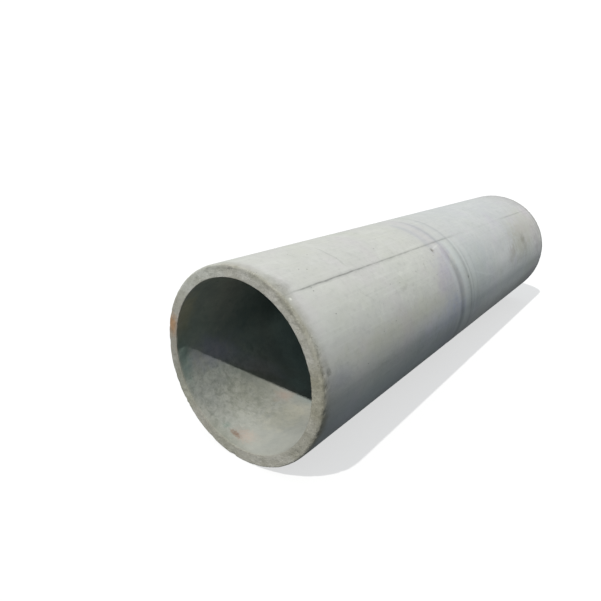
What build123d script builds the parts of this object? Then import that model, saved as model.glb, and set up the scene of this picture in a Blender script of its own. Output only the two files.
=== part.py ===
from build123d import *
import os

os.makedirs("parts", exist_ok=True)

# Plain-ended spun concrete sewer pipe, lying on its side along X.
# Origin: on the ground, under the middle of the pipe. Millimetres, +Z up.
# The end with the more open view faces -X.

BORE = 600.0         # inside diameter, mm
WALL = 45.0          # wall thickness
LENGTH = 2500.0      # over both plain ends
ARRIS_OUT = 5.0      # worn outer edge of each end
ARRIS_IN = 4.0       # worn inner edge of each end

R_IN = BORE / 2
R_OUT = R_IN + WALL

# Half section, drawn in the plane of the axis: the wall with its four broken
# edges, then turned once about the axis.
h = LENGTH / 2
pts = [
    (-h, R_IN + ARRIS_IN),
    (-h + ARRIS_IN, R_IN),
    (h - ARRIS_IN, R_IN),
    (h, R_IN + ARRIS_IN),
    (h, R_OUT - ARRIS_OUT),
    (h - ARRIS_OUT, R_OUT),
    (-h + ARRIS_OUT, R_OUT),
    (-h, R_OUT - ARRIS_OUT),
]
with BuildPart() as bp:
    with BuildSketch(Plane.XY):
        with BuildLine():
            Polyline(*pts, close=True)
        make_face()
    revolve(axis=Axis.X, revolution_arc=360)

pipe = bp.part.moved(Location((0, 0, R_OUT)))
pipe.label = "pipe"
export_step(pipe, "parts/pipe.step")
print("pipe", round(pipe.volume / 1e9, 4), "m3", pipe.bounding_box())
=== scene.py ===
import bpy, math
import numpy as np
from mathutils import Vector, Matrix


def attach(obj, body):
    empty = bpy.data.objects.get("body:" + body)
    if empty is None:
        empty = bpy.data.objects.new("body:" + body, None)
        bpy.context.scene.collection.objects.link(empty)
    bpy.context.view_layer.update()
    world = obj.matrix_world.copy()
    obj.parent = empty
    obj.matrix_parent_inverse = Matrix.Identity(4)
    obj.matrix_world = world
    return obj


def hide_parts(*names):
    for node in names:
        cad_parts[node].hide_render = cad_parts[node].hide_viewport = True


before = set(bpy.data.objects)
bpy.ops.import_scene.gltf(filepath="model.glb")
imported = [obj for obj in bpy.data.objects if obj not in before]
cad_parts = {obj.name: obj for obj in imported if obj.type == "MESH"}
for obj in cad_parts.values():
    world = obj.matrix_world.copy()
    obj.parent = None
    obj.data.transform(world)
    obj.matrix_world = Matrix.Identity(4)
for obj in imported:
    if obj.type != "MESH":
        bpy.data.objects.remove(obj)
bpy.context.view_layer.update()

# ---------------------------------------------------------------- sizes, in metres
R_OUT = 0.345      # outside radius
R_IN = 0.300       # bore radius
HALF = 1.25        # half the length
AX_Z = 0.345       # height of the axis
# Angles round the pipe are counted from the top, positive towards -Y, which is
# the right-hand side for someone who looks into the end at -X.
SEAM0 = math.radians(34.6)          # mould joint at the -X end
SEAM_TURN = math.radians(1.68)      # how far it wanders for each metre

# ---------------------------------------------------------------- small helpers


def lattice(ix, iy, iz, seed):
    m = np.uint64(0xFFFFFFFF)
    h = (ix.astype(np.uint64) * np.uint64(374761393)
         + iy.astype(np.uint64) * np.uint64(668265263)
         + iz.astype(np.uint64) * np.uint64(1440662683)
         + np.uint64(seed * 974634777 + 12345)) & m
    h = ((h ^ (h >> np.uint64(13))) * np.uint64(1274126177)) & m
    h = h ^ (h >> np.uint64(16))
    return (h & np.uint64(0xFFFFFF)).astype(np.float64) / float(0xFFFFFF)


def noise(p, scale, seed):
    """Smooth value noise, -1 to 1, at points p (n, 3), with scale cells a metre."""
    q = p * scale + 1000.0
    i = np.floor(q).astype(np.int64)
    f = q - i
    u = f * f * f * (f * (f * 6 - 15) + 10)
    out = 0.0
    for dx in (0, 1):
        for dy in (0, 1):
            for dz in (0, 1):
                w = ((u[:, 0] if dx else 1 - u[:, 0]) * (u[:, 1] if dy else 1 - u[:, 1])
                     * (u[:, 2] if dz else 1 - u[:, 2]))
                out = out + w * lattice(i[:, 0] + dx, i[:, 1] + dy, i[:, 2] + dz, seed)
    return out * 2 - 1


def fbm(p, scale, octaves, seed, gain=0.5):
    total, amp, norm = 0.0, 1.0, 0.0
    for k in range(octaves):
        total = total + amp * noise(p, scale * 2.03 ** k, seed + 17 * k)
        norm += amp
        amp *= gain
    return total / norm


def window(a, lo, hi, soft):
    """1 where a is between lo and hi, falling to 0 over soft outside them. a wraps round, in degrees."""
    mid, half = (lo + hi) / 2, (hi - lo) / 2
    d = np.abs((a - mid + 180) % 360 - 180) - half
    t = np.clip(1 - d / soft, 0, 1)
    return t * t * (3 - 2 * t)


# ---------------------------------------------------------------- the pipe's mesh
# Columns run along the pipe and follow the mould joint, with closer ones beside
# the two joints. Rings run round it, closer together at the ends.

mm_deg = math.degrees(0.001 / R_OUT)
fine = np.array([0, 0.8, 1.6, 2.4, 3.4, 4.8, 6.8, 9.5, 13.0]) * mm_deg
mid_n = 212
middle = np.linspace(fine[-1], 180 - fine[-1], mid_n + 1)[1:-1]
half_turn = np.concatenate([fine, middle, 180 - fine[:0:-1]])
COLS = np.radians(np.concatenate([half_turn, half_turn + 180]))
N = len(COLS)
col_deg = np.degrees(COLS + SEAM0) % 360            # angle of each column at the -X end
col_far = np.degrees(COLS + SEAM0 + SEAM_TURN * 2 * HALF) % 360


def round_points(x, deg, r):
    a = np.radians(deg)
    return np.stack([np.full_like(a, x), -r * np.sin(a), AX_Z + r * np.cos(a)], 1)


near_ring = round_points(-HALF, col_deg, R_OUT)
far_ring = round_points(HALF, col_far, R_OUT)

# How far each arris is worn back, in metres.
e_out = (0.0075 + 0.0065 * window(col_deg, 58, 112, 26) - 0.0020 * window(col_deg, 160, 245, 30)
         + 0.0016 * fbm(near_ring, 9, 3, 3) + 0.0007 * fbm(near_ring, 60, 2, 5))
e_in = 0.0034 + 0.0008 * fbm(near_ring, 12, 3, 7) + 0.0010 * window(col_deg, 120, 240, 40)
f_out = (0.0075 + 0.0030 * window(col_far, 20, 80, 40) + 0.0016 * fbm(far_ring, 9, 3, 11)
         + 0.0007 * fbm(far_ring, 60, 2, 13))
f_in = 0.0038 + 0.0008 * fbm(far_ring, 12, 3, 15)
e_out, e_in = np.clip(e_out, 0.0050, 0.018), np.clip(e_in, 0.0022, 0.009)
f_out, f_in = np.clip(f_out, 0.0050, 0.018), np.clip(f_in, 0.0022, 0.009)

rings = []      # each (x, r, nx, nr, rim, bore), arrays of N
one = np.ones(N)


def add(x, r, nx, nr, rim, bore):
    rings.append([np.broadcast_to(np.asarray(v, float), (N,)).copy() for v in (x, r, nx, nr, rim, bore)])


BAND = 0.10
arc = np.radians(np.linspace(0, 90, 7))
for t in arc:                                     # near outer arris, from the face to the barrel
    add(-HALF + e_out * (1 - math.cos(t)), R_OUT - e_out * (1 - math.sin(t)), -math.cos(t), math.sin(t),
        1 - 0.55 * (t / (math.pi / 2)) ** 3, 0)
for t in (np.arange(1, 15) / 14) ** 1.35:
    add((-HALF + e_out) * (1 - t) + (-HALF + BAND) * t, R_OUT, 0, 1, 0.45 * (1 - t) ** 5, 0)
xs = np.concatenate([
    np.linspace(-HALF + BAND, -0.36, 35)[1:],
    np.linspace(-0.36, 0.02, 43)[1:],
    np.linspace(0.02, HALF - BAND, 22)[1:],
])
for x in xs:
    add(x, R_OUT, 0, 1, 0, 0)
for t in (np.arange(9, 0, -1) / 10) ** 1.35:
    add((HALF - f_out) * (1 - t) + (HALF - BAND) * t, R_OUT, 0, 1, 0.45 * (1 - t) ** 5, 0)
for t in arc[::-1]:                               # far outer arris
    add(HALF - f_out * (1 - math.cos(t)), R_OUT - f_out * (1 - math.sin(t)), math.cos(t), math.sin(t),
        1 - 0.55 * (t / (math.pi / 2)) ** 3, 0)
for t in np.arange(1, 9) / 9:                     # far face
    add(HALF, (R_OUT - f_out) * (1 - t) + (R_IN + f_in) * t, 1, 0, 1, 0)
arc4 = np.radians(np.linspace(0, 90, 4))
for t in arc4:
    add(HALF - f_in * (1 - math.cos(t)), R_IN + f_in * (1 - math.sin(t)), math.cos(t), -math.sin(t),
        1 - 0.7 * t / (math.pi / 2), t / (math.pi / 2))
for t in (0.12, 0.35, 0.65, 1.0):
    add((HALF - f_in) * (1 - t) + (HALF - 0.08) * t, R_IN, 0, -1, 0.2 * (1 - t) ** 3, 1)
for x in np.linspace(HALF - 0.08, -HALF + 0.50, 13)[1:]:
    add(x, R_IN, 0, -1, 0, 1)
for x in np.linspace(-HALF + 0.50, -HALF + 0.06, 23)[1:]:
    add(x, R_IN, 0, -1, 0, 1)
for t in (0.84, 0.68, 0.54, 0.41, 0.30, 0.20, 0.11, 0.04):
    add((-HALF + e_in) * (1 - t) + (-HALF + 0.06) * t, R_IN, 0, -1, 0.25 * (1 - t) ** 4, 1)
for t in arc4[::-1]:                              # near inner arris
    add(-HALF + e_in * (1 - math.cos(t)), R_IN + e_in * (1 - math.sin(t)), -math.cos(t), -math.sin(t),
        1 - 0.7 * t / (math.pi / 2), t / (math.pi / 2))
for t in np.arange(1, 11) / 11:                   # near face
    add(-HALF, (R_IN + e_in) * (1 - t) + (R_OUT - e_out) * t, -1, 0, 1, 0)

ring = np.array(rings)                            # (M, 6, N)
M = len(rings)
X, Rr, NX, NR, RIM, BORE = (ring[:, k, :] for k in range(6))
turn = COLS[None, :] + SEAM0 + SEAM_TURN * (X + HALF)
sin, cos = np.sin(turn), np.cos(turn)
P = np.stack([X, -Rr * sin, AX_Z + Rr * cos], -1).reshape(-1, 3)
Nrm = np.stack([NX, -NR * sin, NR * cos], -1).reshape(-1, 3)
RIM, BORE = RIM.reshape(-1).copy(), BORE.reshape(-1).copy()
xx = P[:, 0]
deg = np.degrees(turn).reshape(-1) % 360
outer = (np.abs(Nrm[:, 0]) < 0.5) & (BORE < 0.5)
inner = BORE >= 0.5
face = ~outer & ~inner

# Depth pushed into the wall at each point. It is never negative, so that the
# mesh keeps inside the pipe's true size.
depth = np.zeros(len(P))
waves = 0.0007 * (fbm(P, 2.2, 3, 21) + 0.6)
depth += np.where(outer, np.clip(waves, 0, None) + 0.00022 * (fbm(P, 26, 3, 23) + 1), 0)
depth += np.where(inner, 0.0009 * (fbm(P, 5, 3, 31) + 0.7) + 0.0006 * (fbm(P, 38, 3, 33) + 1), 0)
left_low = window(deg, 175, 260, 35) * np.clip(1 - (xx + HALF) / 0.9, 0, 1)
depth += np.where(inner, left_low * 0.0016 * (fbm(P, 30, 3, 37) + 0.8), 0)
depth += RIM * (0.0006 * (fbm(P, 45, 3, 41) + 1) + 0.0006 * (fbm(P, 120, 2, 43) + 1))

# A rough band where the ends' outer edge turns onto the barrel, widest on the
# right-hand side of the near end.
reach_near = 0.010 + 0.016 * window(deg, 56, 114, 14) + 0.006 * window(deg, 10, 36, 8)
reach_far = 0.010 + 0.008 * window(deg, 20, 110, 30)
wave = 1 + 0.5 * fbm(P, 50, 2, 47)
edge = np.clip(1 - (xx + HALF) / (reach_near * wave), 0, 1) + np.clip(1 - (HALF - xx) / (reach_far * wave), 0, 1)
edge = np.where(outer, np.clip(edge * 1.6, 0, 1), 0)
depth += edge * 0.0010 * (fbm(P, 85, 2, 49) + 1) * (0.4 + 0.6 * window(deg, 56, 114, 14))

# The two longitudinal mould joints: a narrow groove, deep near the open end.
off = ((np.tile(np.degrees(COLS)[None, :], (M, 1)).reshape(-1)) + 90) % 180 - 90
off_mm = off / mm_deg
along = (np.interp(xx, [-1.25, -1.19, -1.14, -1.08, -0.88, -0.82, -0.60, -0.30, -0.24, -0.14, 0.02, 0.62, 0.78, 1.02, 1.09, 1.2],
                   [0.40, 0.55, 0.80, 1.0, 0.95, 0.72, 0.64, 0.52, 0.70, 0.62, 0.12, 0.05, 0.42, 0.50, 0.22, 0.18]))
line = np.stack([xx, xx * 0, xx * 0], 1)
broken = np.clip(0.75 + 0.5 * fbm(line, 22, 3, 51), 0.1, 1.2)
loose = np.clip((-0.78 - xx) / 0.17, 0, 1)
loose = 0.28 + 0.72 * loose * loose * (3 - 2 * loose)
wander = loose * (0.85 * np.sin(xx * 59.8 + 0.6) + 0.4 * np.sin(xx * 103.0 + 1.9))    # mm
depth += np.where(outer, 0.0015 * along * broken * np.exp(-((off_mm - wander) / 1.5) ** 2), 0)
depth += np.where(outer, 0.0005 * along * np.clip(1 - np.abs(off_mm - 6) / 22, 0, 1) * (off_mm > 0), 0)


def smooth(t):
    t = np.clip(t, 0, 1)
    return t * t * (3 - 2 * t)


# Marks round the barrel where the mould's rings met. They bend towards +X lower
# down on the right-hand side, come back under the pipe, and are faint elsewhere.
ease = np.clip(deg - 115, 0, 40)
bend = (np.clip(deg - 41, 0, 74) / 71) ** 2 + 0.02936 * ease - 0.000367 * ease ** 2
bend *= 1 - smooth((deg - 155) / 175)
side = smooth((deg - 32) / 10) * (1 - smooth((deg - 116) / 60))
side *= np.interp(deg, [42, 56, 66, 92, 104, 118], [0.45, 0.70, 1.0, 1.0, 0.78, 0.70])
for x0, w, d, lean in ((-0.203, 0.0175, 0.0018, 0.055), (-0.102, 0.0110, 0.0013, 0.080),
                       (-0.066, 0.008, 0.0006, 0.060), (0.000, 0.007, 0.0004, 0.020), (-0.308, 0.014, 0.0004, 0.020)):
    depth += np.where(outer, d * (0.15 + 0.85 * side) * np.exp(-((xx - x0 - lean * bend) / w) ** 2), 0)
depth += np.where(outer, 0.0004 * np.exp(-((xx - 1.178) / 0.012) ** 2), 0)


def surface(x, a_deg, r=R_OUT):
    a = math.radians(a_deg)
    return np.array([x, -r * math.sin(a), AX_Z + r * math.cos(a)])


# Chips and pits: (centre, radius, depth). They are shallow scoops.
rng = np.random.default_rng(20511)
chips = []


def chip_row(count, lo, hi, x, r, size, deep, back):
    for _ in range(count):
        a = rng.uniform(lo, hi)
        s = rng.uniform(*size)
        sign = 1 if x < 0 else -1
        chips.append((surface(x + sign * rng.uniform(0, back), a, r - rng.uniform(0, back) * 0.7), s, s * rng.uniform(*deep)))


chip_row(18, 56, 116, -HALF, R_OUT, (0.006, 0.010), (0.10, 0.20), 0.014)
chip_row(7, 118, 185, -HALF, R_OUT, (0.006, 0.010), (0.10, 0.20), 0.004)
chip_row(8, 185, 280, -HALF, R_OUT, (0.006, 0.011), (0.10, 0.22), 0.005)
chip_row(7, -80, 50, -HALF, R_OUT, (0.006, 0.010), (0.08, 0.18), 0.005)
chip_row(16, 0, 360, -HALF, R_IN + 0.002, (0.005, 0.009), (0.10, 0.20), 0.002)
chip_row(46, 0, 360, -HALF, R_IN + 0.024, (0.006, 0.012), (0.06, 0.14), 0.0)
chip_row(26, 0, 360, HALF, R_OUT, (0.006, 0.012), (0.10, 0.24), 0.006)
chip_row(16, 0, 360, HALF, R_IN + 0.002, (0.006, 0.009), (0.10, 0.20), 0.002)
chip_row(40, 0, 360, HALF, R_IN + 0.024, (0.006, 0.012), (0.06, 0.14), 0.0)
chips += [
    (surface(-1.236, 28), 0.012, 0.0018), (surface(-1.228, 33), 0.009, 0.0014), (surface(-1.243, 77), 0.014, 0.0030),
    (surface(-1.214, 77.2), 0.009, 0.0010), (surface(-0.300, 41.6), 0.010, 0.0030), (surface(-0.292, 42.6), 0.008, 0.0020),
    (surface(-0.088, 71.0), 0.009, 0.0022), (surface(0.825, 66), 0.010, 0.0014), (surface(0.845, 63), 0.009, 0.0012),
    (surface(-1.246, 186), 0.014, 0.0026), (surface(-1.246, 205), 0.012, 0.0024),
    (surface(-1.240, 110.3), 0.012, 0.0034), (surface(-1.246, 92), 0.011, 0.0024),
]
worn = np.zeros(len(P))
for c, s, d in chips:
    m = np.abs(P[:, 0] - c[0]) < s
    q = np.nonzero(m)[0]
    t = np.sum((P[q] - c) ** 2, 1) / s ** 2
    k = t < 1
    q, t = q[k], t[k]
    depth[q] += d * (1 - t) ** 0.8 * (0.8 + 0.4 * noise(P[q], 180, 61))
    worn[q] = np.maximum(worn[q], (1 - t) ** 0.5 * min(1, d / 0.003))

P2 = P - Nrm * np.clip(depth, 0, 0.016)[:, None]

jj, kk = np.meshgrid(np.arange(M), np.arange(N), indexing="ij")
j1, k1 = (jj + 1) % M, (kk + 1) % N
quads = np.stack([jj * N + kk, jj * N + k1, j1 * N + k1, j1 * N + kk], -1).reshape(-1, 4)
me = bpy.data.meshes.new("pipe_body")
me.from_pydata(P2.tolist(), [], quads.tolist())
me.update()
me.polygons.foreach_set("use_smooth", np.ones(len(me.polygons), bool))
for name, values in (("rim", RIM), ("bore", BORE), ("worn", worn), ("edge", edge), ("seam", np.where(outer, along, 0))):
    at = me.attributes.new(name, "FLOAT", "POINT")
    at.data.foreach_set("value", values.astype(np.float32))
pipe = bpy.data.objects.new("pipe_body", me)
bpy.context.scene.collection.objects.link(pipe)
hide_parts("pipe")
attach(pipe, "root")

# ---------------------------------------------------------------- material


class Tree:
    """Short names for shader nodes. A value is a socket or a number."""

    def __init__(self, mat):
        mat.use_nodes = True
        self.t = mat.node_tree
        self.t.nodes.clear()

    def new(self, kind, **kw):
        n = self.t.nodes.new(kind)
        for k, v in kw.items():
            setattr(n, k, v)
        return n

    def put(self, socket, value):
        if isinstance(value, bpy.types.NodeSocket):
            self.t.links.new(value, socket)
        elif hasattr(socket.default_value, "__len__") and not hasattr(value, "__len__"):
            socket.default_value = (value,) * len(socket.default_value)
        elif hasattr(value, "__len__") and len(socket.default_value) == 4 and len(value) == 3:
            socket.default_value = (*value, 1)
        else:
            socket.default_value = value

    def math(self, op, a, b=0.0, c=0.0, clamp=False):
        n = self.new("ShaderNodeMath", operation=op, use_clamp=clamp)
        for s, v in zip(n.inputs, (a, b, c)):
            self.put(s, v)
        return n.outputs[0]

    def add(self, a, b): return self.math("ADD", a, b)
    def sub(self, a, b): return self.math("SUBTRACT", a, b)
    def mul(self, a, b): return self.math("MULTIPLY", a, b)
    def sat(self, a): return self.math("ADD", a, 0.0, clamp=True)

    def ramp(self, v, lo, hi, out0=0.0, out1=1.0, smooth=True):
        n = self.new("ShaderNodeMapRange", interpolation_type="SMOOTHSTEP" if smooth else "LINEAR", clamp=True)
        for s, x in zip(n.inputs, (v, lo, hi, out0, out1)):
            self.put(s, x)
        return n.outputs[0]

    def mix(self, f, a, b, blend="MIX"):
        n = self.new("ShaderNodeMix", data_type="RGBA", blend_type=blend, clamp_factor=True)
        self.put(n.inputs[0], f)
        self.put(n.inputs[6], a)
        self.put(n.inputs[7], b)
        return n.outputs[2]

    def noise(self, vec, scale, detail=3.0, rough=0.5, distort=0.0, lac=2.0):
        n = self.new("ShaderNodeTexNoise", noise_dimensions="3D")
        self.put(n.inputs["Vector"], vec)
        n.inputs["Scale"].default_value = scale
        n.inputs["Detail"].default_value = detail
        n.inputs["Roughness"].default_value = rough
        n.inputs["Lacunarity"].default_value = lac
        n.inputs["Distortion"].default_value = distort
        return n.outputs["Fac"]

    def voronoi(self, vec, scale, feature="F1", out="Distance", rand=1.0):
        n = self.new("ShaderNodeTexVoronoi", feature=feature)
        self.put(n.inputs["Vector"], vec)
        n.inputs["Scale"].default_value = scale
        n.inputs["Randomness"].default_value = rand
        return n.outputs[out]

    def band(self, v, mid, half, soft):
        """1 within half of mid, 0 past half + soft."""
        d = self.math("ABSOLUTE", self.sub(v, mid))
        return self.ramp(d, half, self.add(half, soft) if not isinstance(half, (int, float)) else half + soft, 1.0, 0.0)

    def vec(self, x, y, z):
        n = self.new("ShaderNodeCombineXYZ")
        for s, v in zip(n.inputs, (x, y, z)):
            self.put(s, v)
        return n.outputs[0]

    def attr(self, name):
        return self.new("ShaderNodeAttribute", attribute_name=name).outputs["Fac"]


def srgb(r, g, b):
    return tuple(((v / 255) / 12.92 if v <= 10.3 else ((v / 255 + 0.055) / 1.055) ** 2.4) for v in (r, g, b))


mat = bpy.data.materials.new("concrete")
T = Tree(mat)
coord = T.new("ShaderNodeTexCoord").outputs["Object"]
sep = T.new("ShaderNodeSeparateXYZ")
T.put(sep.inputs[0], coord)
px, py, pz = sep.outputs
zz = T.sub(pz, AX_Z)
yy = T.mul(py, -1.0)
ang = T.math("ARCTAN2", yy, zz)                       # radians from the top, + towards -Y
A = T.mul(ang, 180 / math.pi)
B = T.mul(T.math("ARCTAN2", T.mul(yy, -1.0), T.mul(zz, -1.0)), 180 / math.pi)   # the same from the bottom
rim, bore, wornA = T.attr("rim"), T.attr("bore"), T.attr("worn")
edgeA, seamA = T.attr("edge"), T.attr("seam")

# Wobbled coordinates, so that no stain has a ruled edge.
wob = T.noise(coord, 7.0, 4.0, 0.6)
wob2 = T.noise(coord, 31.0, 3.0, 0.6)
shift = T.add(T.mul(T.sub(wob, 0.5), 1.0), T.mul(T.sub(wob2, 0.5), 0.35))
xw = T.add(px, T.mul(shift, 0.10))
aw = T.add(A, T.mul(shift, 17.0))
bw = T.add(B, T.mul(shift, 17.0))
xs1, as1 = T.add(px, T.mul(shift, 0.03)), T.add(A, T.mul(shift, 5.0))     # a smaller wobble
bs1 = T.add(B, T.mul(shift, 5.0))


def times(c, mask, r, g, b):
    """c multiplied by (r, g, b) where mask is 1."""
    return T.mix(mask, c, (r, g, b, 1), "MULTIPLY")


n_low, n_mid = T.sub(wob, 0.5), T.sub(wob2, 0.5)
n_hi = T.sub(T.noise(coord, 95.0, 4.0, 0.62), 0.5)


def blob(x0, a0, rx, ra, fuzz=2.0, n=None, a=None, hard=0.05):
    """A soft, ragged spot round x0 and the angle a0, about rx metres by ra degrees."""
    dx = T.mul(T.sub(px, x0), 1 / rx)
    da = T.mul(T.sub(A if a is None else a, a0), 1 / ra)
    d = T.math("POWER", T.add(T.mul(dx, dx), T.mul(da, da)), 0.5)
    return T.ramp(T.add(d, T.mul(n_mid if n is None else n, fuzz)), hard, 1.25, 1.0, 0.0)


# --- the barrel: pale neutral grey, slightly warm near the open end, slightly cool beyond the ring marks
col = T.mix(T.ramp(xw, -0.45, 0.25), srgb(198, 197, 192), srgb(195, 196, 196))
col = T.mix(T.ramp(xw, 0.75, 1.10, 0.0, 0.7), col, srgb(192, 191, 190))
big = T.noise(coord, 2.6, 4.0, 0.55)
col = T.mix(T.ramp(big, 0.38, 0.75, 0.0, 0.22), col, srgb(170, 173, 171))
mid = T.noise(coord, 13.0, 4.0, 0.62)
col = T.mix(T.ramp(mid, 0.42, 0.78, 0.0, 0.30), col, srgb(214, 214, 209))
col = T.mix(T.ramp(T.noise(coord, 46.0, 4.0, 0.65), 0.46, 0.80, 0.0, 0.26), col, srgb(156, 158, 155))
# faint streaks drawn along the pipe by the mould
drawn = T.vec(T.mul(px, 3.0), T.mul(A, 0.55), 0.0)
streak = T.noise(drawn, 1.0, 4.0, 0.6)
col = T.mix(T.ramp(streak, 0.50, 0.78, 0.0, 0.24), col, srgb(218, 219, 214))
col = T.mix(T.ramp(streak, 0.46, 0.24, 0.0, 0.18), col, srgb(160, 163, 162))
# painted shade: the underside of the near half is darker and bluer. Darker low on both sides near the open end. Painted
# light: the right-hand shoulder of the near half and the side of the far half are paler
near_half = T.ramp(xw, 0.20, -0.30)
col = times(col, T.mul(T.ramp(T.math("ABSOLUTE", aw), 82.0, 112.0), near_half), 0.70, 0.755, 0.82)
col = times(col, T.mul(T.ramp(T.math("ABSOLUTE", aw), 70.0, 86.0), T.ramp(xw, -1.06, -1.24)), 0.84, 0.83, 0.83)
col = times(col, T.mul(T.band(aw, 52.0, 8.0, 14.0), T.ramp(xw, -0.25, -0.5)), 1.02, 1.03, 1.02)
col = times(col, T.mul(T.band(aw, 87.0, 14.0, 18.0), T.ramp(xw, 0.0, 0.45)), 1.18, 1.18, 1.17)
col = times(col, T.mul(T.band(aw, 95.0, 5.0, 10.0), T.ramp(xw, -0.25, 0.30)), 1.14, 1.14, 1.14)
col = times(col, T.mul(T.band(aw, 66.0, 20.0, 22.0), T.ramp(xw, 0.86, 1.20)), 1.14, 1.14, 1.13)
# pale worn patches and darker scuffs on the shoulder of the near half
scuff = T.noise(T.vec(T.mul(px, 16.0), T.mul(A, 0.13), 3.0), 1.0, 5.0, 0.68, 0.8)
shoulder = blob(-0.66, 54.0, 0.42, 26.0, 2.4)
col = T.mix(T.mul(T.ramp(scuff, 0.54, 0.68), T.mul(shoulder, 0.42)), col, srgb(216, 216, 209))
col = T.mix(T.mul(T.ramp(scuff, 0.44, 0.32), T.mul(shoulder, 0.30)), col, srgb(158, 157, 150))
# painted shade: the top of the barrel a little darker
col = times(col, T.band(aw, 2.0, 14.0, 28.0), 0.945, 0.950, 0.955)
# lilac cast beside the ring marks, olive low on the near half, beige and lilac-grey patches far off
col = times(col, blob(-0.285, 68.0, 0.14, 30.0), 0.918, 0.92, 0.975)
slant = T.add(T.add(T.sub(A, 21.25), T.mul(px, 118.75)), T.mul(n_mid, 7.0))
col = times(col, T.mul(T.band(slant, 0.0, 3.0, 7.0), T.band(px, -0.295, 0.080, 0.065)), 0.965, 0.94, 0.99)
col = times(col, blob(-0.275, 84.5, 0.085, 7.0, 1.4), 0.89, 0.90, 0.96)
col = times(col, blob(-0.185, 91.0, 0.045, 7.0, 1.4), 0.97, 0.96, 1.03)
col = times(col, blob(-0.345, 67.0, 0.09, 12.0), 0.972, 0.957, 0.99)
col = times(col, blob(-0.225, 47.0, 0.07, 8.0), 0.97, 0.95, 0.985)
col = times(col, blob(-0.80, 76.0, 0.42, 9.0), 0.985, 0.985, 0.93)
col = times(col, blob(-1.165, 84.0, 0.080, 9.0, 1.4), 0.87, 0.885, 0.95)
col = T.mix(T.mul(blob(0.95, 57.0, 0.34, 25.0, 1.3), 0.55), col, srgb(190, 187, 176))
col = T.mix(T.mul(blob(0.77, 68.0, 0.20, 20.0, 1.8), 0.40), col, srgb(174, 170, 157))
col = times(col, blob(1.12, 41.0, 0.075, 9.0, 1.4), 0.93, 0.925, 0.93)
col = T.mix(T.mul(blob(0.830, 65.0, 0.046, 6.5, 1.8, n_hi), 0.36), col, srgb(132, 129, 119))
col = T.mix(T.mul(blob(0.850, 74.0, 0.040, 8.0, 1.8, n_hi), 0.20), col, srgb(136, 133, 123))
col = times(col, blob(0.905, 63.0, 0.036, 12.0, 1.4), 1.05, 1.05, 1.045)
col = times(col, blob(1.04, 96.0, 0.16, 9.0, 1.4), 0.965, 0.975, 0.93)
col = T.mix(T.mul(blob(0.60, 73.0, 0.085, 8.0, 2.0), 0.34), col, srgb(154, 147, 132))
col = times(col, blob(1.11, 76.0, 0.085, 20.0), 0.90, 0.885, 0.91)
col = times(col, T.ramp(px, 1.190, 1.232), 0.81, 0.80, 0.82)
col = times(col, T.ramp(px, 1.00, 1.18), 0.965, 0.95, 0.96)
col = times(col, blob(0.0, 72.0, 0.32, 36.0, 1.4), 0.945, 0.985, 0.995)
col = times(col, blob(-0.145, 50.0, 0.075, 22.0, 1.2), 0.985, 1.005, 1.03)
col = times(col, blob(-0.36, 90.0, 0.34, 13.0, 1.2), 1.10, 1.11, 1.22)
hue = T.noise(coord, 6.0, 3.0, 0.55)
col = times(col, T.ramp(hue, 0.50, 0.70), 1.01, 0.985, 1.02)
col = times(col, T.ramp(hue, 0.50, 0.32), 0.99, 0.997, 0.972)
col = times(col, T.ramp(T.add(px, T.mul(n_mid, 0.05)), -1.205, -1.243), 0.87, 0.865, 0.845)
col = T.mix(T.mul(T.band(bw, 0.0, 10.0, 12.0), 0.40), col, srgb(150, 143, 126))      # where it lay on soil

# --- the mould joints and the ring marks, cut in the surface and drawn in grime and painted shade, with painted highlight beside the ring marks
along_m = T.mul(T.sub(T.sub(A, 34.6), T.mul(T.add(px, HALF), 1.68)), 6.02)            # mm across the joint
along_2 = T.mul(T.sub(T.sub(B, 34.6), T.mul(T.add(px, HALF), 1.68)), 6.02)
wand = T.add(T.mul(T.math("SINE", T.add(T.mul(px, 59.8), 0.6)), 0.85), T.mul(T.math("SINE", T.add(T.mul(px, 103.0), 1.9)), 0.4))
wand = T.add(T.mul(wand, T.ramp(px, -0.78, -0.95, 0.28, 1.0)), T.mul(T.sub(T.noise(T.vec(px, 0.0, 0.0), 40.0, 2.0, 0.6), 0.5), 1.2))
gaps = T.ramp(T.noise(T.vec(px, 7.0, 0.0), 17.0, 3.0, 0.65), 0.32, 0.62, 0.30, 1.0)
# grime and painted shade along the two mould joints
for m, k in ((along_m, 1.0), (along_2, 0.7)):
    line_m = T.math("ABSOLUTE", T.sub(m, wand))
    col = T.mix(T.mul(T.mul(T.ramp(line_m, 0.4, 5.2, 1.0, 0.0), seamA), T.mul(gaps, 0.62 * k)), col, srgb(104, 105, 102))
    col = T.mix(T.mul(T.mul(T.ramp(line_m, 2.0, 13.0, 1.0, 0.0), seamA), 0.22 * k), col, srgb(140, 141, 138))
full = T.math("WRAP", as1, 360.0, 0.0)                                                # 0 to 360 all round
squared = T.math("POWER", T.mul(T.math("MINIMUM", T.math("MAXIMUM", T.sub(full, 41.0), 0.0), 74.0), 1 / 71), 2.0)
eased = T.math("MINIMUM", T.math("MAXIMUM", T.sub(full, 115.0), 0.0), 40.0)
eased = T.sub(T.mul(eased, 0.02936), T.mul(T.mul(eased, eased), 0.000367))
bendA = T.mul(T.add(squared, eased), T.ramp(full, 155.0, 330.0, 1.0, 0.0))
lower = T.mul(T.ramp(as1, 42.0, 66.0, 0.18, 1.0), T.mul(T.ramp(as1, 33.0, 44.0), T.ramp(as1, 114.0, 172.0, 1.0, 0.0)))
lower = T.mul(lower, T.ramp(as1, 92.0, 110.0, 1.0, 0.62))
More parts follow.
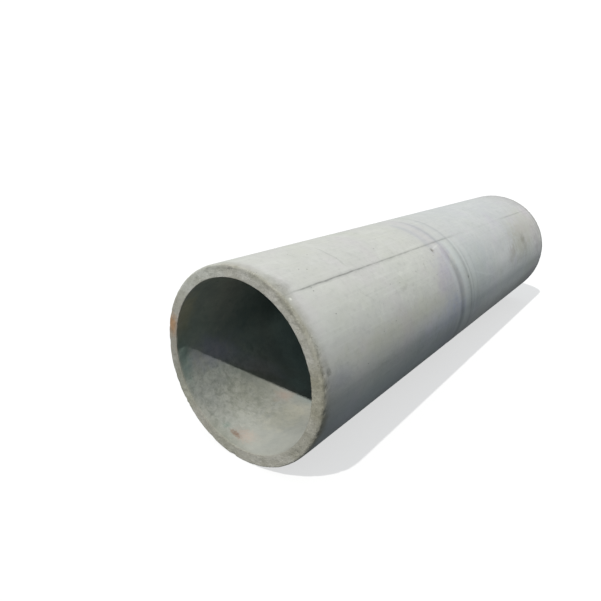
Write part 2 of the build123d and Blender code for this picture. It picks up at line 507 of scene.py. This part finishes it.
# grime and painted shade along the ring marks
for x0, lean, w, k, tone in ((-0.201, 0.052, 0.0150, 0.38, (112, 116, 118)), (-0.102, 0.080, 0.0090, 0.30, (126, 130, 132)),
                             (-0.066, 0.060, 0.0045, 0.20, (136, 140, 143)), (0.000, 0.020, 0.0040, 0.14, (142, 146, 148))):
    off_r = T.math("ABSOLUTE", T.sub(T.add(px, T.mul(shift, 0.006)), T.add(x0, T.mul(bendA, lean))))
    col = T.mix(T.mul(T.mul(T.ramp(off_r, w * 0.2, w * 2.6, 1.0, 0.0), lower), k), col, srgb(*tone))
# painted highlight: light lines beside the ring marks, standing in for the lit side of their relief
for x0, lean, w, k in ((-0.155, 0.065, 0.014, 0.45), (-0.084, 0.070, 0.005, 0.35), (-0.250, 0.060, 0.010, 0.28), (-0.03, 0.04, 0.014, 0.25)):
    off_r = T.math("ABSOLUTE", T.sub(px, T.add(x0, T.mul(bendA, lean))))
    col = T.mix(T.mul(T.mul(T.ramp(off_r, w * 0.5, w * 2.2, 1.0, 0.0), T.band(as1, 72.0, 26.0, 14.0)), k), col, srgb(206, 210, 209))
for x0, k in ((-0.300, 0.30), (-0.208, 0.30), (-0.112, 0.16)):                            # fainter, above the joint
    col = T.mix(T.mul(T.mul(T.band(T.add(px, T.mul(shift, 0.02)), x0, 0.004, 0.034), T.band(aw, 22.0, 8.0, 13.0)), k), col, srgb(162, 164, 174))
for x0, lean in ((-0.205, 0.055), (-0.102, 0.080)):                                   # and fainter still all round
    off_r = T.math("ABSOLUTE", T.sub(T.add(px, T.mul(shift, 0.006)), T.add(x0, T.mul(bendA, lean))))
    col = T.mix(T.mul(T.mul(T.ramp(off_r, 0.002, 0.016, 1.0, 0.0), T.sub(1.0, lower)), 0.17), col, srgb(130, 133, 136))
col = T.mix(T.mul(T.mul(T.band(xs1, -0.89, 0.001, 0.007), T.band(as1, 19.0, 8.0, 5.0)), 0.35), col, srgb(160, 162, 158))
col = T.mix(T.mul(T.band(xs1, 1.178, 0.003, 0.012), 0.20), col, srgb(142, 143, 144))
# a nick with a light scratch, a dark spot, and a light line drawn on the skew
col = T.mix(T.mul(blob(-0.300, 41.6, 0.012, 2.0, 1.6, n_hi), 0.70), col, srgb(112, 108, 99))
skew = T.sub(A, T.sub(41.0, T.mul(T.add(px, 0.30), 24.0)))
col = T.mix(T.mul(T.mul(T.band(skew, 0.0, 0.15, 0.9), T.band(px, -0.258, 0.018, 0.03)), 0.40), col, srgb(224, 224, 219))
col = T.mix(T.mul(blob(-0.088, 71.0, 0.008, 1.4, 1.2, n_hi), 0.62), col, srgb(98, 99, 98))
skew2 = T.sub(A, T.add(T.add(70.0, T.mul(px, 46.0)), T.mul(n_mid, 3.0)))
col = T.mix(T.mul(T.mul(T.band(skew2, 0.0, 0.2, 1.3), T.band(px, 0.155, 0.11, 0.09)), 0.30), col, srgb(214, 218, 217))
# where the joint meets the end: a grey smear, dark specks and a bright fleck
col = T.mix(T.mul(blob(-1.226, 28.5, 0.042, 10.0, 1.8), 0.52), col, srgb(146, 145, 139))
col = T.mix(T.mul(T.mul(blob(-1.224, 29.5, 0.020, 6.0, 1.5, n_hi), T.ramp(n_hi, 0.0, 0.09)), 0.50), col, srgb(98, 97, 90))
col = T.mix(T.mul(blob(-1.229, 37.6, 0.0065, 1.1, 0.8, n_hi), 0.85), col, srgb(236, 236, 228))
col = T.mix(T.mul(blob(-1.214, 77.4, 0.013, 2.2, 2.2, n_hi), 0.50), col, srgb(84, 83, 77))
col = T.mix(T.mul(blob(-1.217, 73.0, 0.014, 5.0, 1.8, n_hi), 0.26), col, srgb(110, 109, 102))
col = T.mix(T.mul(blob(-1.242, 108.0, 0.034, 12.0, 1.6), 0.45), col, srgb(112, 105, 88))
outer_col = col

# --- end faces: rough, grey and beige, with sand and small stones showing
sand = T.noise(coord, 210.0, 3.0, 0.7)
grit = T.voronoi(coord, 150.0, "F1", "Distance")
face_col = T.mix(T.ramp(T.noise(coord, 16.0, 4.0, 0.6), 0.35, 0.70), srgb(159, 157, 147), srgb(180, 178, 171))
face_col = T.mix(T.ramp(sand, 0.48, 0.75, 0.0, 0.50), face_col, srgb(128, 124, 111))
face_col = T.mix(T.ramp(T.noise(coord, 95.0, 3.0, 0.7), 0.56, 0.78, 0.0, 0.50), face_col, srgb(208, 205, 194))
stone = T.new("ShaderNodeTexVoronoi", feature="F1")
T.put(stone.inputs["Vector"], coord)
stone.inputs["Scale"].default_value = 115.0
stone_c = T.new("ShaderNodeSeparateColor")
T.put(stone_c.inputs[0], stone.outputs["Color"])
stone_m = T.mul(T.ramp(stone.outputs["Distance"], 0.20, 0.36, 1.0, 0.0), T.ramp(stone_c.outputs[0], 0.50, 0.56, 0.0, 0.55))
face_col = T.mix(stone_m, face_col, T.mix(stone_c.outputs[1], srgb(108, 104, 95), srgb(206, 203, 194)))
face_col = T.mix(T.ramp(grit, 0.08, 0.22, 0.35, 0.0), face_col, srgb(92, 90, 82))
face_col = times(face_col, T.band(aw, 90.0, 8.0, 16.0), 0.82, 0.81, 0.74)                 # dirtier on the right,
face_col = times(face_col, T.band(aw, -93.0, 20.0, 14.0), 0.80, 0.81, 0.81)               # darker on the left,
face_col = times(face_col, T.band(aw, -32.0, 14.0, 18.0), 1.15, 1.19, 1.22)               # cleaner above that
face_col = times(face_col, T.band(aw, 13.0, 5.0, 9.0), 1.08, 1.09, 1.12)
rr = T.math("POWER", T.add(T.mul(yy, yy), T.mul(zz, zz)), 0.5)
rr = T.add(rr, T.mul(n_mid, 0.010))
face_col = times(face_col, T.mul(T.ramp(rr, 0.322, 0.334), T.band(aw, 36.0, 28.0, 14.0)), 0.87, 0.87, 0.84)
face_col = times(face_col, T.mul(T.ramp(rr, 0.330, 0.318), T.band(aw, 40.0, 26.0, 14.0)), 1.05, 1.05, 1.06)
face_col = times(face_col, T.band(aw, -120.0, 8.0, 10.0), 0.88, 0.90, 0.85)
face_col = times(face_col, T.band(aw, -165.0, 6.0, 9.0), 0.90, 0.91, 0.88)
face_col = times(face_col, T.band(aw, 125.0, 9.0, 10.0), 0.86, 0.86, 0.83)
rust_d = T.add(T.mul(T.math("ABSOLUTE", T.add(A, 75.5)), 1 / 9.5), T.add(T.mul(n_mid, 0.7), T.mul(n_hi, 1.3)))
rust = T.mul(T.mul(T.ramp(rust_d, 0.0, 1.20, 1.0, 0.0), T.ramp(px, -1.195, -1.235)), T.ramp(rr, 0.300, 0.322, 0.30, 1.0))
face_col = T.mix(T.mul(rust, 0.68), face_col, srgb(174, 130, 88))
rust_run = T.mul(T.band(A, -88.0, 5.0, 9.0), T.mul(T.ramp(n_hi, -0.04, 0.08), T.ramp(px, -1.195, -1.235)))
face_col = T.mix(T.mul(rust_run, 0.16), face_col, srgb(160, 128, 96))

# --- the bore: dusty at the bottom, rough and greenish low on the left, painted shade above and further in, with painted light in parts of that shade
bore_col = T.mix(T.ramp(T.noise(coord, 9.0, 4.0, 0.6), 0.35, 0.70), srgb(160, 161, 154), srgb(143, 146, 142))
worm = T.noise(coord, 40.0, 5.0, 0.66, 0.5)
rough_low = T.mul(T.band(bw, 38.0, 20.0, 20.0), T.ramp(xw, -0.84, -1.10))                # deg 200 to 240
bore_col = T.mix(T.ramp(T.noise(coord, 60.0, 4.0, 0.7), 0.45, 0.75, 0.0, 0.35), bore_col, srgb(120, 123, 117))
bore_col = T.mix(T.mul(T.ramp(worm, 0.38, 0.54, 1.0, 0.0), T.mul(rough_low, 0.36)), bore_col, srgb(110, 116, 107))
bore_col = T.mix(T.mul(T.ramp(worm, 0.52, 0.66), T.mul(rough_low, 0.26)), bore_col, srgb(184, 187, 177))
dusty = T.mul(T.band(bw, -8.0, 26.0, 18.0), T.ramp(xw, -1.00, -1.14))
bore_col = T.mix(T.mul(dusty, 0.36), bore_col, srgb(196, 197, 189))
bore_col = times(bore_col, T.mul(T.band(bw, 86.0, 16.0, 22.0), T.ramp(xw, -0.98, -1.16)), 0.84, 0.87, 0.87)
bore_col = times(bore_col, blob(-1.230, 80.0, 0.040, 22.0, 1.4, None, B), 0.72, 0.89, 0.87)
bore_col = times(bore_col, blob(-1.235, 112.0, 0.060, 24.0, 1.6, None, B), 1.30, 1.12, 0.90)
# painted light: paler and bluer in the shade just above the shadow edge, near the mouth
bore_col = times(bore_col, blob(-1.08, 76.0, 0.15, 13.0, 1.8, None, B), 1.08, 1.03, 1.19)
bore_col = times(bore_col, blob(-0.99, 0.0, 0.13, 17.0, 1.4, None, B), 1.19, 1.15, 1.06)
bore_col = times(bore_col, blob(-0.97, 40.0, 0.20, 26.0, 2.2, None, B), 0.82, 0.83, 0.79)
# painted shade: the upper bore dark teal-grey, darker further in
upper_shade = T.ramp(T.math("ABSOLUTE", aw), 84.0, 108.0, 1.0, 0.0)
deep = T.ramp(px, 0.30, -0.35)                                                         # the far half is plainer
bore_col = T.mix(T.mul(T.mul(upper_shade, T.ramp(xw, -1.15, -0.72, 0.08, 0.58)), T.add(T.mul(deep, 0.5), 0.5)), bore_col, srgb(76, 90, 89))
bore_col = times(bore_col, T.mul(upper_shade, T.ramp(xw, -0.95, -1.20)), 0.98, 1.06, 1.04)
bore_col = times(bore_col, T.mul(T.mul(T.ramp(px, -1.06, -0.86), T.ramp(bw, 48.0, 68.0)), deep), 0.90, 1.02, 1.05)   # greener further in
bore_col = times(bore_col, T.mul(T.mul(T.ramp(px, -0.90, -0.80), T.ramp(bw, 68.0, 48.0)), deep), 0.90, 1.02, 1.05)
bore_col = times(bore_col, T.ramp(px, -0.35, 0.30), 0.97, 0.94, 0.90)
# painted shade: darker in the shade on the left wall, a little way in
bore_col = times(bore_col, blob(-0.99, 82.0, 0.21, 34.0, 1.5, None, B), 0.70, 0.77, 0.79)
# painted light: paler and bluer in the shade beside the lit bottom, further in
bore_col = times(bore_col, T.mul(T.mul(T.ramp(px, -0.80, -0.69), T.band(bw, 50.0, 26.0, 20.0)), deep), 1.32, 1.44, 1.46)
past_shadow_edge = T.add(T.add(B, T.mul(px, 150.0)), T.add(T.mul(n_mid, 8.0), 85.0))                # painted light: a lilac-grey band in the shade just past the shadow edge
bore_col = times(bore_col, T.mul(T.band(past_shadow_edge, 1.0, 4.0, 8.0), T.band(px, -0.97, 0.13, 0.06)), 1.16, 1.12, 1.24)
# painted light: a paler teal patch in the shade just past the shadow edge, further in
bore_col = times(bore_col, blob(-0.790, 21.0, 0.050, 11.0, 1.4, None, B), 1.28, 1.38, 1.38)
# a rust streak and its pink fringe on the bottom, a greenish spot, and a faint pink further in
bore_col = times(bore_col, blob(-1.240, 17.0, 0.040, 20.0, 1.2, None, B), 0.76, 0.77, 0.735)   # dirt at the lip
bore_col = times(bore_col, T.ramp(px, -1.230, -1.248), 0.94, 0.94, 0.93)
bore_col = T.mix(T.mul(blob(-1.185, 7.5, 0.042, 11.0, 2.0, n_hi, B, 0.0), 0.33), bore_col, srgb(194, 162, 146))
bore_col = T.mix(T.mul(blob(-1.2022, 12.8, 0.0150, 5.6, 1.8, n_hi, B, 0.0), 0.78), bore_col, srgb(124, 98, 80))
bore_col = T.mix(T.mul(blob(-1.199, 22.8, 0.020, 3.0, 1.8, n_hi, B), 0.46), bore_col, srgb(98, 124, 112))
bore_col = T.mix(T.mul(blob(-0.895, 19.5, 0.055, 7.0, 1.6, None, B), 0.30), bore_col, srgb(188, 154, 140))

base = T.mix(bore, outer_col, bore_col)
rough_edge = T.mul(edgeA, T.ramp(T.noise(coord, 150.0, 3.0, 0.65), 0.36, 0.60, 0.35, 1.0))
base = T.mix(T.sat(T.math("MAXIMUM", T.mul(rim, 1.15), rough_edge)), base, face_col)
# painted shade: the inner arris of each end darker, so it shows no bright line where the light catches it
lip = T.mul(T.mul(T.mul(bore, T.sub(1.0, bore)), 4.0), T.mul(T.sat(T.mul(rim, 2.5)), 1.0))
base = times(base, T.sat(lip), 0.80, 0.795, 0.775)
specks = T.mul(T.mul(edgeA, T.band(aw, 85.0, 24.0, 10.0)), T.ramp(T.noise(coord, 120.0, 3.0, 0.7), 0.52, 0.64, 0.0, 0.75))
base = T.mix(specks, base, srgb(96, 92, 80))
base = T.mix(T.mul(wornA, 0.18), base, srgb(128, 124, 110))

# --- small blow holes, dented by the bump and darkened with painted shade
cell = T.new("ShaderNodeTexVoronoi", feature="F1")
T.put(cell.inputs["Vector"], coord)
cell.inputs["Scale"].default_value = 34.0
pick = T.new("ShaderNodeSeparateColor")
T.put(pick.inputs[0], cell.outputs["Color"])
hole = T.mul(T.ramp(cell.outputs["Distance"], 0.045, 0.085, 1.0, 0.0), T.math("GREATER_THAN", pick.outputs[0], 0.80))
hole = T.mul(hole, T.sub(1.0, T.mul(bore, 0.3)))
base = T.mix(T.mul(hole, 0.62), base, srgb(74, 75, 72))

# --- fine grain everywhere
grain = T.noise(coord, 420.0, 2.0, 0.6)
base = T.mix(0.22, base, T.mix(grain, srgb(96, 96, 92), srgb(232, 231, 226)), "SOFT_LIGHT")

bs = T.new("ShaderNodeBsdfPrincipled")
T.put(bs.inputs["Base Color"], base)
bs.inputs["Roughness"].default_value = 0.92
bs.inputs["Specular IOR Level"].default_value = 0.25

# --- relief
broken_up = T.sat(T.math("MAXIMUM", rim, T.mul(edgeA, 0.8)))
h_fine = T.mul(T.sub(T.noise(coord, 320.0, 4.0, 0.65), 0.5), T.add(0.25, T.mul(T.sat(T.add(broken_up, wornA)), 1.4)))
h_mid = T.mul(T.sub(T.noise(coord, 70.0, 4.0, 0.6), 0.5), T.add(0.35, T.mul(broken_up, 1.6)))
h = T.add(T.add(h_fine, T.mul(h_mid, 1.3)), T.mul(hole, -1.6))
h = T.add(h, T.mul(T.mul(T.sub(worm, 0.5), rough_low), T.mul(bore, 2.2)))
bump = T.new("ShaderNodeBump")
bump.inputs["Strength"].default_value = 0.55
bump.inputs["Distance"].default_value = 0.0022
T.put(bump.inputs["Height"], h)
T.put(bs.inputs["Normal"], bump.outputs[0])
out = T.new("ShaderNodeOutputMaterial")
T.put(out.inputs["Surface"], bs.outputs[0])
me.materials.append(mat)

# ---------------------------------------------------------------- floor, light, camera
fm = bpy.data.materials.new("floor")
F = Tree(fm)
seen = F.new("ShaderNodeBsdfDiffuse")
seen.inputs[0].default_value = (0.33, 0.33, 0.33, 1)
glow = F.new("ShaderNodeEmission")
glow.inputs[0].default_value = (1, 1, 1, 1)
glow.inputs[1].default_value = 0.64
both = F.new("ShaderNodeAddShader")
F.put(both.inputs[0], seen.outputs[0])
F.put(both.inputs[1], glow.outputs[0])
ground = F.new("ShaderNodeBsdfDiffuse")
ground.inputs[0].default_value = (0.12, 0.122, 0.122, 1)
path = F.new("ShaderNodeLightPath")
pick_floor = F.new("ShaderNodeMixShader")
F.put(pick_floor.inputs[0], path.outputs["Is Camera Ray"])
F.put(pick_floor.inputs[1], ground.outputs[0])
F.put(pick_floor.inputs[2], both.outputs[0])
fo = F.new("ShaderNodeOutputMaterial")
F.put(fo.inputs["Surface"], pick_floor.outputs[0])
s = 60.0
fme = bpy.data.meshes.new("floor")
fme.from_pydata([(-s, -s, 0), (s, -s, 0), (s, s, 0), (-s, s, 0)], [], [(0, 1, 2, 3)])
fme.materials.append(fm)
floor = bpy.data.objects.new("floor", fme)
bpy.context.scene.collection.objects.link(floor)

world = bpy.data.worlds.new("studio")
bpy.context.scene.world = world
W = Tree(world)
sky = W.new("ShaderNodeBackground")
sky.inputs[0].default_value = (0.86, 0.95, 1.0, 1)
sky.inputs[1].default_value = 0.44
white = W.new("ShaderNodeBackground")
white.inputs[0].default_value = (1, 1, 1, 1)
white.inputs[1].default_value = 1.05
wp = W.new("ShaderNodeLightPath")
wm = W.new("ShaderNodeMixShader")
W.put(wm.inputs[0], wp.outputs["Is Camera Ray"])
W.put(wm.inputs[1], sky.outputs[0])
W.put(wm.inputs[2], white.outputs[0])
wo = W.new("ShaderNodeOutputWorld")
W.put(wo.inputs["Surface"], wm.outputs[0])

elev, swing = math.radians(55.7), math.radians(4.0)
to = Vector((math.cos(elev) * math.cos(swing), math.cos(elev) * math.sin(swing), -math.sin(elev)))
key_data = bpy.data.lights.new("key", "SUN")
key_data.energy = 3.3
key_data.angle = math.radians(1.2)
key_data.color = (1.0, 0.985, 0.955)
key = bpy.data.objects.new("key", key_data)
key.rotation_mode = "QUATERNION"
key.rotation_quaternion = to.to_track_quat("-Z", "Y")
key.location = (-3, -0.2, 4)
bpy.context.scene.collection.objects.link(key)

cam_data = bpy.data.cameras.new("camera")
cam_data.lens = 29.159
cam_data.sensor_width = 36.0
cam_data.clip_start, cam_data.clip_end = 0.05, 200
cam = bpy.data.objects.new("camera", cam_data)
eye = Vector((-2.24265, -1.04020, 1.04215))
look = Vector((0.748223, 0.586090, -0.310904))
cam.rotation_mode = "QUATERNION"
cam.rotation_quaternion = look.to_track_quat("-Z", "Y")
cam.location = eye
bpy.context.scene.collection.objects.link(cam)
bpy.context.scene.camera = cam

vs = bpy.context.scene.view_settings
vs.view_transform = "Standard"
vs.look = "None"
vs.exposure = 0.0
vs.gamma = 1.0
